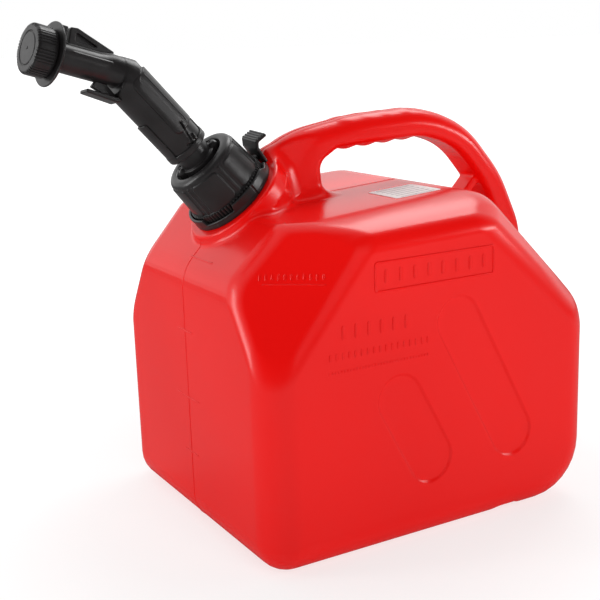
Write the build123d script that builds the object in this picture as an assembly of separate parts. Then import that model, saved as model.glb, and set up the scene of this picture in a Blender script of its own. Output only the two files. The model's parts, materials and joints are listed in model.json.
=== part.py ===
from build123d import *

# Ten litre fuel can with a carrying handle, a screwed-on bent spout that closes itself, and a
# child lock on the spout's collar. Millimetres. +Z is up and the origin is the centre of the base.
# The neck leans towards -X, the rear of the can is +X, and the handle lies in the plane y = 0.

import os

# ---------------------------------------------------------------- driving dimensions
BODY_LENGTH = 270.0
BODY_WIDTH = 237.0
WALL = 3.0
PLAN_CORNER = 26.0
BOTTOM_EDGE = 22.0
REAR_BOTTOM_CORNER = 44.0
SHOULDER_FOOT = 186.0  # height where the front face turns into the sloping shoulder
SHOULDER_ROUNDING = 16.0
TOP_AT_SHOULDER = 224.0
TOP_AT_REAR = 235.0
REAR_SLOPE_FOOT = 150.0

HANDLE_WIDTH = 31.0
HANDLE_ROUNDING = 8.0
STRUT_WIDTH = 18.0

NECK_TILT = 42.0  # from the vertical, towards -X
NECK_BASE = (-93.2, 0.0, 234.7)  # centre of the lock ring's lower face
NECK_RADIUS = 22.6
NECK_BORE = 19.6
NECK_HEIGHT = 26.0
NECK_PITCH = 6.0
NECK_THREAD_CREST = 24.0

RING_RADIUS = 32.4
RING_WALL_TOP = 9.0
LEVER_TURN = -4.0  # where the lever stands round the neck
LEVER_WIDTH = 24.0
TEETH_RADIUS = 29.7

COLLAR_FOOT = 3.4  # the collar's lower face above the lock ring's lower face
COLLAR_BORE = 24.7
COLLAR_LIP = 32.6  # underside of the collar's inward lip
COLLAR_OPENING = 18.8
FLANGE_LOW = 27.85
FLANGE_HIGH = 32.2

SPOUT_SWIVEL = 12.3  # how far the spout is turned about the neck
SPOUT_FOOT = 34.0  # height of the spout's origin above the lock ring's lower face
SLEEVE_RADIUS = 14.2
SLEEVE_BORE = 12.0
SLEEVE_LOW = 14.5
SLEEVE_HIGH = 70.0
ELBOW_HEIGHT = 82.5
ELBOW_BEND = 31.8
NOZZLE_RADIUS = 9.5
NOZZLE_BORE = 7.0
NOZZLE_LENGTH = 58.5
VENT_OFFSET = 13.6  # air tube's axis above the nozzle's axis

TUBE_RADIUS = 11.7
TUBE_BORE = 8.6
TUBE_LOW = -10.5
TUBE_HIGH = 40.0
WIRE = 0.6  # radius of the spring's wire

DISC_RADIUS = 20.5
DISC_LOW = 46.2
DISC_HIGH = 48.2
CAP_LOW = 49.0
CAP_HIGH = 62.4
CAP_BORE = 11.3
CAP_PITCH = 3.5
CAP_FACE = 2.2  # thickness of the cap's end

half_length = BODY_LENGTH / 2
half_width = BODY_WIDTH / 2
neck = Location(NECK_BASE) * Rot(0, -NECK_TILT, 0)
spout = neck * Rot(0, 0, SPOUT_SWIVEL) * Pos(0, 0, SPOUT_FOOT)
bend = Pos(0, 0, ELBOW_HEIGHT) * Rot(0, -ELBOW_BEND, 0)  # from the sleeve's frame to the nozzle's
nozzle = spout * bend


# ---------------------------------------------------------------- small helpers
def outline(points, radii):
    """Flat face in the XZ plane with rounded corners."""
    return Plane.XZ * make_face(FilletPolyline(*points, radius=radii, close=True))


def slab(face, width):
    """Solid made from a face in the XZ plane, centred on y = 0."""
    return extrude(face, width / 2, both=True)


def turned(*points):
    """Solid of revolution about Z from a closed outline of (radius, height) points."""
    return revolve(Plane.XZ * make_face(Polyline(*points, close=True)), Axis.Z)


def tube(outer, inner, low, high):
    return turned((inner, low), (outer, low), (outer, high), (inner, high))


def rod(radius, low, high):
    return Pos(0, 0, (low + high) / 2) * Cylinder(radius, high - low)


def beyond(point, normal):
    """Everything on the outer side of a plane, within reach of the can."""
    reach = 600.0
    return Plane(origin=point, z_dir=normal).location * Pos(0, 0, reach / 2) * Box(reach, reach, reach)


def thread(root, crest, pitch, low, turns, width):
    """Helical ridge on a round wall of radius root, reaching to radius crest."""
    helix = Pos(0, 0, low) * Helix(pitch, pitch * turns, root)
    start = Plane(origin=helix @ 0, x_dir=(1, 0, 0), z_dir=helix % 0)
    depth = crest - root
    sunk = -0.3 if depth > 0 else 0.3
    ridge = Polyline((sunk, -width / 2), (depth, -width / 4), (depth, width / 4), (sunk, width / 2), close=True)
    return sweep(start * make_face(ridge), path=helix, is_frenet=True)


# ---------------------------------------------------------------- can body
def body_block(inset):
    """The can's rounded block, without neck and handle, shrunk all round by inset."""
    side = outline(
        [
            (-half_length, 0),
            (half_length, 0),
            (half_length, REAR_SLOPE_FOOT),
            (56, TOP_AT_REAR),
            (-98.8, TOP_AT_SHOULDER),
            (-half_length, SHOULDER_FOOT),
        ],
        [BOTTOM_EDGE, REAR_BOTTOM_CORNER, 22, 34, 14, SHOULDER_ROUNDING],
    )
    plan = RectangleRounded(BODY_LENGTH - 2 * inset, BODY_WIDTH - 2 * inset, PLAN_CORNER - inset)
    front = Pos(0, 150 + inset) * RectangleRounded(BODY_WIDTH - 2 * inset, 300, BOTTOM_EDGE - inset)
    block = slab(offset(side, -inset), BODY_WIDTH)
    block &= extrude(plan, 400)
    block &= extrude(Plane.YZ * front, half_length, both=True)
    for side_sign in (-1, 1):
        for point, normal in (
            ((0, 118.5, 217.5), (-0.034, 0.464, 0.885)),  # band between side and top
            ((82.2, 118.5, 177.5), (0.511, 0.663, 0.547)),  # band between side and rear slope
            ((-half_length, 70, 187), (-0.589, 0.660, 0.464)),  # front facet with the level mark
        ):
            outward = Vector(normal[0], side_sign * normal[1], normal[2]).normalized()
            on_plane = Vector(point[0], side_sign * point[1], point[2]) - outward * inset
            block -= beyond(on_plane, outward)
    return block


def handle_block(inset):
    """Handle and rear leg as one plate with rounded edges, shrunk all round by inset."""
    loop = outline(
        [
            (-66, 196),
            (-90, 236),
            (-80, 257),
            (-46, 276),
            (5, 284.5),
            (66, 287),
            (106, 270),
            (139, 232),
            (160, 187),
            (159, 140),
            (124, 100),
            (50, 170),
        ],
        [12, 12, 16, 60, 80, 60, 60, 60, 40, 40, 12, 12],
    )
    gap = outline(
        [
            (-9, 212),
            (-27, 233),
            (-29, 253),
            (-14, 262),
            (60, 266),
            (92, 256),
            (119, 224),
            (138, 178),
            (140, 142),
            (110, 160),
            (60, 206),
        ],
        [6, 20, 10, 12, 30, 20, 40, 30, 6, 10, 10],
    )
    plate = slab(offset(loop, -inset) - offset(gap, inset), HANDLE_WIDTH - 2 * inset)
    rims = plate.edges().group_by(Axis.Y)[0] + plate.edges().group_by(Axis.Y)[-1]
    return fillet(rims, HANDLE_ROUNDING - inset)


def handle_strut():
    """Web from the handle's rear bend down to the rear slope of the can."""
    low_end = (84, 200)
    high_end = (118, 233)
    return slab(outline([low_end, (88, 196), (122, 229), high_end], [0, 0, 0, 0]), STRUT_WIDTH)


def finger_bumps():
    """Four shallow ridges under the handle, between the fingers."""
    bumps = Part()
    for index in range(4):
        x = -4 + 17 * index
        z = 271.4 + 0.055 * x
        bumps += Pos(x, 0, z) * Rot(90, 0, 0) * Cylinder(10.5, HANDLE_WIDTH - 2 * HANDLE_ROUNDING)
    return bumps


def stadium(x, z, length, width, depth, side_sign):
    """Slanted flat recess with round ends in a side wall."""
    flat = Plane(origin=(x, side_sign * half_width, z), x_dir=(1, 0, 0), z_dir=(0, side_sign, 0))
    lean = 62 * side_sign
    return extrude(flat * Rot(0, 0, lean) * SlotOverall(length, width), depth, both=True)


def grip_groove(margin):
    """Groove across the base in front of the rear foot, where fingers hold the can to pour."""
    low = -20.0
    top = 5.0 + margin
    face = outline([(46 - margin, low), (52 - margin, top), (74 + margin, top), (79 + margin, low)], [0, 6, 3, 0])
    return slab(face, BODY_WIDTH + 10)


def side_frames():
    """Raised rectangular frame on each side wall."""
    frames = Part()
    for side_sign in (-1, 1):
        flat = Plane(origin=(-7, side_sign * half_width, 191), x_dir=(1, 0, 0), z_dir=(0, side_sign, 0))
        border = Rectangle(94, 18.5) - Rectangle(91, 15.5)
        frames += extrude(flat * border, 0.8) + extrude(flat * border, -0.5)
    return frames


def can_body():
    """The blow-moulded can: block, handle, strut, neck and all raised and sunk detail, as one shell."""
    boss = turned((0, -34), (48, -34), (36, -3), (34.5, 0), (0, 0))
    neck_tube = tube(NECK_RADIUS, NECK_BORE - 1, -34, NECK_HEIGHT)
    neck_ridge = thread(NECK_RADIUS, NECK_THREAD_CREST, NECK_PITCH, 13, 1.5, 2.2)
    ring_space = turned((0, 0), (34.6, 0), (41, 14), (50, 44), (0, 44))
    outer = body_block(0) - grip_groove(0)
    outer += handle_block(0) - neck * ring_space
    outer += handle_strut() + finger_bumps()
    outer += neck * (boss + neck_tube)
    for side_sign in (-1, 1):
        for x, z, length in ((35, 109, 134), (-24, 84, 86)):
            outer -= stadium(x, z, length, 34, 1.2, side_sign)
    cavity = body_block(WALL) - grip_groove(WALL)
    ring_skin = turned((0, -3), (36, -3), (44, 14), (53, 44), (0, 44))
    cavity += handle_block(WALL) - neck * ring_skin
    cavity += neck * rod(NECK_BORE, -45, NECK_HEIGHT + 5)
    body = outer - cavity
    body += neck * neck_ridge + side_frames()
    return body


def top_label():
    """Paper label lying on the top, beside the seam."""
    slope = (TOP_AT_REAR - TOP_AT_SHOULDER) / (56 + 98.8)
    height = TOP_AT_SHOULDER + slope * (17 + 98.8)
    sheet = Plane(origin=(17, -50, height), x_dir=(1, 0, slope), z_dir=(-slope, 0, 1))
    return extrude(sheet * RectangleRounded(38, 36, 2), 0.3)


# ---------------------------------------------------------------- neck fittings
def lock_ring():
    """Ring round the neck base: a floor, a wall round the collar's teeth and a slot for the lever."""
    floor_top = 2.6
    wall_inner = RING_RADIUS - 2
    floor = tube(RING_RADIUS, 24.4, 0, floor_top)
    wall = tube(RING_RADIUS, wall_inner, floor_top - 0.6, RING_WALL_TOP)
    slot_height = 8.0
    slot = Pos(31.5, 0, floor_top + slot_height / 2) * Box(10, LEVER_WIDTH + 1.2, slot_height)
    break_line = Rot(0, 0, -80) * Pos(RING_RADIUS, 0, 5) * Box(1.6, 0.9, 12)
    return neck * (floor + wall - Rot(0, 0, LEVER_TURN) * slot - break_line)


def lock_tab():
    """Thumb lever: an upright plate with a pawl inside its foot and a ribbed pad bent outwards on top."""
    side = outline(
        [(30.6, 3.0), (31.9, 15.0), (35.2, 19.6), (43.9, 18.4), (43.9, 16.2), (36.2, 17.2), (34.2, 14.6), (32.7, 3.0)],
        [0.5, 2, 1.5, 1, 1, 2, 3, 0.5],
    )
    lever = extrude(side, LEVER_WIDTH / 2, both=True)
    lever += Pos(30.5, 0, 6.4) * Box(0.9, 6, 3.2)
    for index in range(4):
        lever += Pos(36.6 + 2.1 * index, 0, 19.55 - 0.29 * index) * Box(0.9, LEVER_WIDTH - 1.5, 1.1)
    return neck * Rot(0, 0, LEVER_TURN) * lever


def collar():
    """Threaded collar with a rounded shoulder, six grip pads between grooves, and ratchet teeth."""
    shell = turned(
        (COLLAR_BORE, COLLAR_FOOT),
        (28.1, COLLAR_FOOT),
        (28.0, 11),
        (26.7, 33),
        (25.9, 35.2),
        (24.3, 36.9),
        (22.3, 37.6),
        (20.2, 37.5),
        (COLLAR_OPENING, 36.2),
        (COLLAR_OPENING, COLLAR_LIP),
        (COLLAR_BORE, COLLAR_LIP),
    )
    for index in range(6):
        for side_turn in (-6, 6):
            groove = Pos(28.0, 0, 22) * Rot(0, -3.3, 0) * Box(1.6, 1.8, 22)
            shell -= Rot(0, 0, 28 + 60 * index + side_turn) * groove
    tooth = outline([(27.2, COLLAR_FOOT), (TEETH_RADIUS, COLLAR_FOOT), (TEETH_RADIUS, 8.4), (27.2, 8.4)], [0, 0, 0, 0])
    teeth = Part() + [Rot(0, 0, 10 * index) * extrude(tooth, 1.2, both=True) for index in range(36)]
    inner_ridge = thread(COLLAR_BORE, 23.0, NECK_PITCH, 10.0, 1.25, 2.2)
    return neck * (shell + teeth + inner_ridge)


def neck_gasket():
    return neck * tube(23.2, 18.4, NECK_HEIGHT + 0.05, FLANGE_LOW - 0.05)


# ---------------------------------------------------------------- spout
def spout_base():
    """Flange held by the collar, the fixed inner tube and two domed bosses on the flange."""
    flange = turned((0, FLANGE_LOW), (24.2, FLANGE_LOW), (24.2, FLANGE_HIGH), (16, FLANGE_HIGH), (14, 34), (0, 34))
    boss_radius = 4.1
    boss_height = 37.0
    boss = Pos(13.4, 0, boss_height) * Sphere(boss_radius) + Pos(13.4, 0, 0) * rod(boss_radius, 31, boss_height)
    bosses = Part() + [Rot(0, 0, turn) * boss for turn in (-17.5, 162.5)]
    body = neck * (flange + bosses)
    body += spout * (rod(13.4, -3, 4) + rod(TUBE_RADIUS, TUBE_LOW, TUBE_HIGH))
    seal_groove = tube(TUBE_RADIUS + 1, TUBE_RADIUS - 1.4, 33, 35.2)
    return body - spout * (rod(TUBE_BORE, TUBE_LOW - 5, TUBE_HIGH + 5) + seal_groove)


def base_seal():
    return spout * Pos(0, 0, 34.1) * Torus(TUBE_RADIUS - 0.5, 0.78)


def spout_sleeve():
    """Sleeve that slides on the inner tube, with a long raised pad on each side."""
    shell = tube(SLEEVE_RADIUS, SLEEVE_BORE, SLEEVE_LOW, SLEEVE_HIGH)
    pad_outline = Pos(5.5, 0, 49) * Box(12, 60, 42)
    pads = tube(SLEEVE_RADIUS + 1.4, SLEEVE_RADIUS - 0.5, 28, SLEEVE_HIGH) & pad_outline
    return spout * (shell + pads)


def slide_retainer():
    """Band round the sleeve's lower end with a wide rail up its front and its back."""
    band = tube(15.6, SLEEVE_RADIUS, SLEEVE_LOW, 18.5)
    rails = tube(15.4, SLEEVE_RADIUS, 18, 48.5) & Box(60, 10.6, 200)
    pad_space = Pos(5.5, 0, 49) * Box(12.6, 60, 42.6)
    return spout * (band + rails - pad_space)


def nozzle_elbow():
    """Bent upper part of the spout, with the nozzle, the fin over its air tube and the tip thread."""
    corner_radius = 16.0
    corner_crest = 11.2  # height of the outer corner above the nozzle's axis
    corner = Pos(corner_crest - corner_radius, 0, 0) * rod(corner_radius, -60, 5)
    lower = rod(SLEEVE_RADIUS, SLEEVE_HIGH, 110) & (bend * corner)
    taper = turned((0, -6), (11.2, -6), (11.2, 6), (NOZZLE_RADIUS, 15), (0, 15))
    barrel = rod(NOZZLE_RADIUS, -6, NOZZLE_LENGTH)
    fin_side = outline([(8, 6), (12, 6), (20.2, 32.4), (19.6, 37.2), (8, 37.6)], [0, 0, 3, 1, 0])
    fin = slab(fin_side, 7)
    hollow = outline([(11.5, 17), (17, 33), (11.5, 33)], [0.5, 0.5, 0.5])
    fin -= Pos(0, 3.5, 0) * slab(hollow, 3) + Pos(0, -3.5, 0) * slab(hollow, 3)
    tip_ridge = thread(NOZZLE_RADIUS, 10.9, CAP_PITCH, 51.8, 1.25, 1.2)
    outer = lower + bend * (taper + barrel + fin + tip_ridge)
    elbow_bore = rod(10, SLEEVE_HIGH - 5, ELBOW_HEIGHT - 4) + Pos(0, 0, ELBOW_HEIGHT - 4) * Sphere(10)
    tip_bore = rod(NOZZLE_BORE, -4, NOZZLE_LENGTH + 1) + Pos(VENT_OFFSET, 0, 36) * rod(2.3, 0, 10)
    return spout * (outer - elbow_bore - bend * tip_bore)


def rim_hook():
    """Tongue pointing forward under the bend, stiffened by a triangular web."""
    tongue = outline([(-13.6, 72), (-13.6, 78), (-25.2, 92.7), (-27.0, 91.6), (-16.5, 72)], [0, 0, 0.8, 0.8, 0])
    web = outline([(-13.6, 77), (-14.6, 87), (-23.0, 90.4), (-16.5, 76)], [0, 0.5, 0.5, 0])
    hook = slab(tongue, 10) + slab(web, 3)
    hook -= rod(SLEEVE_RADIUS, 60, 110)
    hook -= bend * turned((0, -6), (11.3, -6), (11.3, 6), (NOZZLE_RADIUS, 15), (NOZZLE_RADIUS, 40), (0, 40))
    return spout * hook


def splash_disc():
    return nozzle * turned(
        (NOZZLE_RADIUS, DISC_LOW),
        (DISC_RADIUS - 1.4, DISC_LOW),
        (DISC_RADIUS, DISC_LOW + 0.8),
        (DISC_RADIUS, DISC_HIGH),
        (NOZZLE_RADIUS, DISC_HIGH),
    )


def vent_tube():
    """Air tube: its mouth shows over the nozzle, and it runs back inside the fin."""
    return nozzle * Pos(VENT_OFFSET, 0, 0) * tube(2.25, 1.3, 36.1, 45)


# ---------------------------------------------------------------- valve
def sleeve_spring():
    coil = Helix(4.4, 22.0, 9.9)
    start = Plane(origin=coil @ 0, x_dir=(1, 0, 0), z_dir=coil % 0)
    return spout * Pos(0, 0, TUBE_HIGH + WIRE) * sweep(start * Circle(WIRE), path=coil, is_frenet=True)


def valve_stem():
    """Rod down the middle of the inner tube, hung from a three-armed spider in the sleeve."""
    stem = rod(1.8, TUBE_LOW - 1, 66) + tube(SLEEVE_BORE, 10.6, 63.2, 66)
    for index in range(3):
        stem += Rot(0, 0, 120 * index) * Pos(6, 0, 64.6) * Box(11, 1.8, 2.8)
    return spout * stem


def valve_plug():
    low = TUBE_LOW - 5
    high = TUBE_LOW - 1
    return spout * turned((0, low), (9, low), (11, low + 1.6), (11, high), (0, high))


def valve_seal():
    return spout * tube(10.4, 8.8, TUBE_LOW - 1, TUBE_LOW - 0.05)


# ---------------------------------------------------------------- cap
def nozzle_cap():
    """Screw cap with a flat face and grip ribs in eight groups."""
    radius = 15.4
    shell = turned(
        (CAP_BORE, CAP_LOW),
        (radius, CAP_LOW),
        (radius, CAP_HIGH - 1.6),
        (radius - 1.6, CAP_HIGH),
        (0, CAP_HIGH),
        (0, CAP_HIGH - CAP_FACE),
        (CAP_BORE, CAP_HIGH - CAP_FACE),
    )
    rib = Pos(radius, 0, (CAP_LOW + CAP_HIGH) / 2 - 0.6) * Box(1.5, 1.2, 10.6)
    for group in range(8):
        for index in range(4):
            shell += Rot(0, 0, 45 * group + 7.5 * (index - 1.5)) * rib
    ridge = thread(CAP_BORE, 9.9, CAP_PITCH, CAP_LOW + 1.05, 1.0, 1.2)
    return nozzle * (shell + ridge)


def cap_liner():
    return nozzle * rod(10.2, NOZZLE_LENGTH + 0.1, CAP_HIGH - CAP_FACE - 0.05)


NODES = [
    can_body,
    top_label,
    lock_ring,
    lock_tab,
    collar,
    neck_gasket,
    spout_base,
    base_seal,
    spout_sleeve,
    slide_retainer,
    nozzle_elbow,
    rim_hook,
    splash_disc,
    vent_tube,
    sleeve_spring,
    valve_stem,
    valve_plug,
    valve_seal,
    nozzle_cap,
    cap_liner,
]

if __name__ == "__main__":
    os.makedirs("parts", exist_ok=True)
    for make in NODES:
        shape = make()
        shape.label = make.__name__
        export_step(shape, f"parts/{make.__name__}.step")
        print(make.__name__, round(shape.volume / 1000, 2), "cm3", len(shape.solids()), "solids", shape.is_valid)
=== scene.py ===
import json
import math

import bpy
import numpy as np
from mathutils import Matrix, Vector


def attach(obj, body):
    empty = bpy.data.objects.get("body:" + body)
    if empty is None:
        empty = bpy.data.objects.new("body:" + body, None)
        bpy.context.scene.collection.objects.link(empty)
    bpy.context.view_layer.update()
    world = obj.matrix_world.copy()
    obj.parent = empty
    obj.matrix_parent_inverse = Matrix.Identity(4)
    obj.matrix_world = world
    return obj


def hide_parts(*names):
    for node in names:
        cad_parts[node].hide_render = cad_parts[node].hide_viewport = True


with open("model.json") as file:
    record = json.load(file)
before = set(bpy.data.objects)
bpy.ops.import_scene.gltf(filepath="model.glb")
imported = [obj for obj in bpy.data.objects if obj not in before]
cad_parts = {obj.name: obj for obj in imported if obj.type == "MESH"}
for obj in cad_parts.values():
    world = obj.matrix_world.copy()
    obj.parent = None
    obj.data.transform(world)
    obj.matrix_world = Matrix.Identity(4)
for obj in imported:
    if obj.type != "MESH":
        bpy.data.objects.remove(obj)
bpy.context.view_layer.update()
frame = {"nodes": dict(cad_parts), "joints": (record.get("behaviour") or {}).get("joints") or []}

# Looks for a ten litre fuel can with a bent pouring spout. Shapes are signed-distance fields in
# millimetres, each in the frame of the CAD part it belongs to; meshes are made in metres.

MM = 0.001
COARSE = 1.0  # how much coarser the grids are while trying things
MOST_TRIANGLES = 190000  # per piece, so that its exported mesh is kept whole


# ---------------------------------------------------------------- frames
class Place:
    """A local frame: its origin in millimetres and its axes, all in the row frame."""

    def __init__(self, origin, y, z):
        self.origin = np.array(origin, float)
        z = np.array(z, float) / np.linalg.norm(z)
        x = np.cross(y, z)
        x /= np.linalg.norm(x)
        self.axes = np.stack([x, np.cross(z, x), z])

    def to_row(self, points):
        return self.origin + points @ self.axes

    def directions(self, vectors):
        return vectors @ self.axes

    def turned(self, degrees):
        """The same frame turned about its own z."""
        a = math.radians(degrees)
        y = self.directions(np.array([-math.sin(a), math.cos(a), 0]))
        return Place(self.origin, y, self.axes[2])


joints = {joint["name"]: joint for joint in frame["joints"]}
UPRIGHT = Place((0, 0, 0), (0, 1, 0), (0, 0, 1))
neck = Place(np.array(joints["collar_turn"]["pos_m"]) / MM, (0, 1, 0), joints["collar_turn"]["axis"])
SPOUT_FOOT = 34.0  # the spout's origin above the neck's
ELBOW_HEIGHT = 82.5
CAP_MIDDLE = 55.0  # where the cap's joint stands along the nozzle
nozzle_axis = np.array(joints["cap_turn"]["axis"])
spout_axis = -np.array(joints["sleeve_slide"]["axis"])
spout_side = np.cross(nozzle_axis, spout_axis)
spout = Place(neck.origin + SPOUT_FOOT * spout_axis, spout_side, spout_axis)
elbow = np.array(joints["cap_turn"]["pos_m"]) / MM - CAP_MIDDLE * nozzle_axis
nozzle = Place(elbow, spout_side, nozzle_axis)
LEVER_TURN = -4.0


# ---------------------------------------------------------------- signed distances
def smooth(value, start, end):
    """0 below start, 1 above end, and an even curve between."""
    t = np.clip((value - start) / (end - start), 0, 1)
    return t * t * (3 - 2 * t)


def round_cut(a, b, radius):
    """What is in both a and b, with a round outer edge."""
    edge = np.hypot(np.maximum(radius + a, 0), np.maximum(radius + b, 0))
    return np.minimum(-radius, np.maximum(a, b)) + edge


def round_union(a, b, radius):
    """What is in a or b, with a round fillet between them."""
    fillet = np.hypot(np.maximum(radius - a, 0), np.maximum(radius - b, 0))
    return np.maximum(radius, np.minimum(a, b)) - fillet


def between(value, low, high):
    """Distance to the slab from low to high."""
    return np.abs(value - (low + high) / 2) - (high - low) / 2


def rounded_box(u, v, half_u, half_v, radius):
    """Distance in a plane to a rectangle with round corners, centred on the origin."""
    a = np.abs(u) - half_u + radius
    b = np.abs(v) - half_v + radius
    return np.minimum(np.maximum(a, b), 0) + np.hypot(np.maximum(a, 0), np.maximum(b, 0)) - radius


def out_and_across(x, y, degrees):
    """Distances along and across a direction that is turned about z from x."""
    a = math.radians(degrees)
    return x * math.cos(a) + y * math.sin(a), y * math.cos(a) - x * math.sin(a)


def segment(u, v, start, end):
    """Distance in a plane to a line from start to end."""
    du, dv = end[0] - start[0], end[1] - start[1]
    t = np.clip(((u - start[0]) * du + (v - start[1]) * dv) / (du * du + dv * dv), 0, 1)
    return np.hypot(u - start[0] - t * du, v - start[1] - t * dv)


def rounded_corners(points, radii, arc_steps=7):
    """Points of a closed outline whose corners are arcs of the given radii."""
    out = []
    count = len(points)
    for index, radius in enumerate(radii):
        corner = np.array(points[index], float)
        back = np.array(points[index - 1], float) - corner
        ahead = np.array(points[(index + 1) % count], float) - corner
        back /= np.linalg.norm(back)
        ahead /= np.linalg.norm(ahead)
        half = math.acos(max(-1, min(1, float(back @ ahead)))) / 2
        if radius == 0:
            out.append(corner)
            continue
        middle = (back + ahead) / np.linalg.norm(back + ahead)
        centre = corner + middle * radius / math.sin(half)
        first = corner + back * radius / math.tan(half) - centre
        last = corner + ahead * radius / math.tan(half) - centre
        a0 = math.atan2(first[1], first[0])
        sweep = (math.atan2(last[1], last[0]) - a0 + math.pi) % (2 * math.pi) - math.pi
        for step in range(arc_steps + 1):
            a = a0 + sweep * step / arc_steps
            out.append(centre + radius * np.array([math.cos(a), math.sin(a)]))
    return out


def outline(points, radii=None):
    """A function giving the signed distance in a plane to a closed outline."""
    corners = np.array(rounded_corners(points, radii or [0] * len(points)), np.float32)

    def distance(u, v):
        u, v = np.broadcast_arrays(u, v)
        nearest = np.full(u.shape, np.inf, np.float32)
        sign = np.ones(u.shape, np.float32)
        for (u0, v0), (u1, v1) in zip(corners, np.roll(corners, -1, 0)):
            du, dv = u1 - u0, v1 - v0
            a, b = u - u0, v - v0
            t = np.clip((a * du + b * dv) / max(du * du + dv * dv, 1e-9), 0, 1)
            nearest = np.minimum(nearest, (a - t * du) ** 2 + (b - t * dv) ** 2)
            crosses = ((v0 > v) != (v1 > v)) & ((a * dv - du * b) * np.sign(dv) < 0)
            sign = np.where(crosses, -sign, sign)
        return sign * np.sqrt(nearest)

    return distance


# ---------------------------------------------------------------- meshes from fields
def surface_net(values, low, step):
    """Points and outward-facing quads of the surface where a gridded field changes sign."""
    quads = []
    spots = []
    for axis in range(3):
        order = [axis] + [other for other in range(3) if other != axis]
        lined = np.moveaxis(values, axis, 0)
        cross = np.argwhere((lined[:-1] < 0) != (lined[1:] < 0))
        before = lined[:-1][tuple(cross.T)]
        after = lined[1:][tuple(cross.T)]
        index = np.empty_like(cross)
        index[:, order] = cross
        spot = index.astype(float)
        spot[:, axis] += before / (before - after)
        ring = []
        for du, dv in ((-1, -1), (0, -1), (0, 0), (-1, 0)):
            cell = index.copy()
            cell[:, order[1]] += du
            cell[:, order[2]] += dv
            ring.append(np.ravel_multi_index(cell.T, values.shape))
        quad = np.stack(ring, 1)
        flip = (before >= 0) != (axis == 1)
        quad[flip] = quad[flip][:, ::-1]
        quads.append(quad)
        spots.append(np.repeat(spot, 4, axis=0))
    quads = np.concatenate(quads)
    spots = np.concatenate(spots)
    inverse = np.unique(quads.ravel(), return_inverse=True)[1]
    share = np.bincount(inverse)
    points = np.stack([np.bincount(inverse, spots[:, k]) / share for k in range(3)], 1)
    return np.array(low) + step * points, inverse.reshape(-1, 4)


def gradient(field, points, reach=0.04):
    """How steeply a field rises along each axis at the points."""
    slope = np.empty_like(points)
    for axis in range(3):
        offset = np.zeros(3)
        offset[axis] = reach
        slope[:, axis] = (field(*(points + offset).T) - field(*(points - offset).T)) / (2 * reach)
    return slope


def settle(field, points, rounds=2, most=0.6):
    """Points moved onto the field's surface, by no more than most in each round."""
    for _ in range(rounds):
        slope = gradient(field, points)
        size = np.maximum((slope**2).sum(1), 0.05)
        points = points - np.clip(field(*points.T) / size, -most, most)[:, None] * slope
    return points


def unit(vectors):
    return vectors / np.maximum(np.linalg.norm(vectors, axis=1), 1e-9)[:, None]


def new_piece(name, points, faces, normals, material, body):
    """A smooth mesh object in the row frame, from points in millimetres, riding on a body."""
    mesh = bpy.data.meshes.new(name)
    mesh.from_pydata((np.asarray(points) * MM).tolist(), [], faces)
    mesh.validate()
    mesh.shade_smooth()
    mesh.normals_split_custom_set_from_vertices(normals.tolist())
    piece = bpy.data.objects.new(name, mesh)
    bpy.context.scene.collection.objects.link(piece)
    mesh.materials.append(material)
    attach(piece, body)
    return piece


def thinned(points, faces):
    """Fewer, larger faces where the surface is flat, so that a piece stays within the triangle limit."""
    mesh = bpy.data.meshes.new("thinning")
    mesh.from_pydata(points.tolist(), [], faces.tolist())
    holder = bpy.data.objects.new("thinning", mesh)
    bpy.context.scene.collection.objects.link(holder)
    cut = holder.modifiers.new("cut", "DECIMATE")
    cut.ratio = MOST_TRIANGLES / (2 * len(faces))
    bpy.context.view_layer.update()
    made = bpy.data.meshes.new_from_object(holder.evaluated_get(bpy.context.evaluated_depsgraph_get()))
    fewer = np.empty(len(made.vertices) * 3, np.float32)
    made.vertices.foreach_get("co", fewer)
    corners = [tuple(polygon.vertices) for polygon in made.polygons]
    bpy.data.objects.remove(holder)
    bpy.data.meshes.remove(mesh)
    bpy.data.meshes.remove(made)
    return fewer.reshape(-1, 3).astype(float), corners


def carve(name, field, low, high, step, place, material, body, nodes):
    """A piece with the surface of a field given in a local frame, standing for some CAD nodes."""
    step = step * COARSE
    lines = [np.arange(a, b + step, step, dtype=np.float32) for a, b in zip(low, high)]
    shape = tuple(len(line) for line in lines)
    values = np.broadcast_to(field(*np.ix_(*lines)), shape)
    points, faces = surface_net(values, low, step)
    if 2 * len(faces) > MOST_TRIANGLES:
        points, faces = thinned(points, faces)
    else:
        faces = faces.tolist()
    points = settle(field, points)
    normals = unit(gradient(field, points))
    piece = new_piece(name, place.to_row(points), faces, place.directions(normals), material, body)
    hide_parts(*nodes)


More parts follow.
